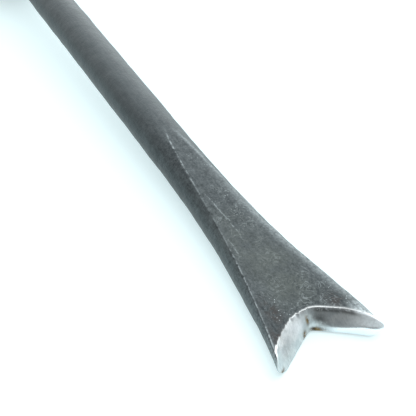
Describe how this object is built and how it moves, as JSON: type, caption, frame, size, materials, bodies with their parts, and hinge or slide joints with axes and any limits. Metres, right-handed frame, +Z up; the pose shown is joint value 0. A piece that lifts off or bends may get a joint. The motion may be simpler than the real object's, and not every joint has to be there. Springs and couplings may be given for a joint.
{
  "type": "v-notched hand chisel",
  "caption": "Forged hand chisel with a V-notched fishtail end, round shank, bolster, brass ferrule and turned ash handle with a leather striking end.",
  "frame": {"origin": "on the bench under the middle of the tool's bounding box, with the tool lying at rest on the lower corners of its points and on the handle's belly", "axes": "+X along the tool toward the notched points, +Z up from the bench; the tool's own axis dips toward the points by about three and a half degrees"},
  "size_m": [0.2951, 0.0306, 0.0349],
  "materials": {
    "forged_steel": "dark forged steel, worn smooth, with a bright ground notch",
    "washer_leather": "compressed vegetable-tanned leather",
    "ferrule_brass": "dulled drawn brass tube",
    "pin_brass": "filed brass wire",
    "handle_ash": "turned ash, oiled and handled",
    "butt_leather": "stacked sole leather, burnished at the rim",
    "wedge_wood": "end grain of a dark hardwood wedge"
  },
  "bodies": {
    "root": {"blade": "forged_steel", "shock_washer": "washer_leather", "ferrule": "ferrule_brass", "ferrule_pins": "pin_brass", "handle": "handle_ash", "butt_leather_1": "butt_leather", "butt_leather_2": "butt_leather", "butt_leather_3": "butt_leather", "tenon_wedge": "wedge_wood"}
  },
  "joints": []
}
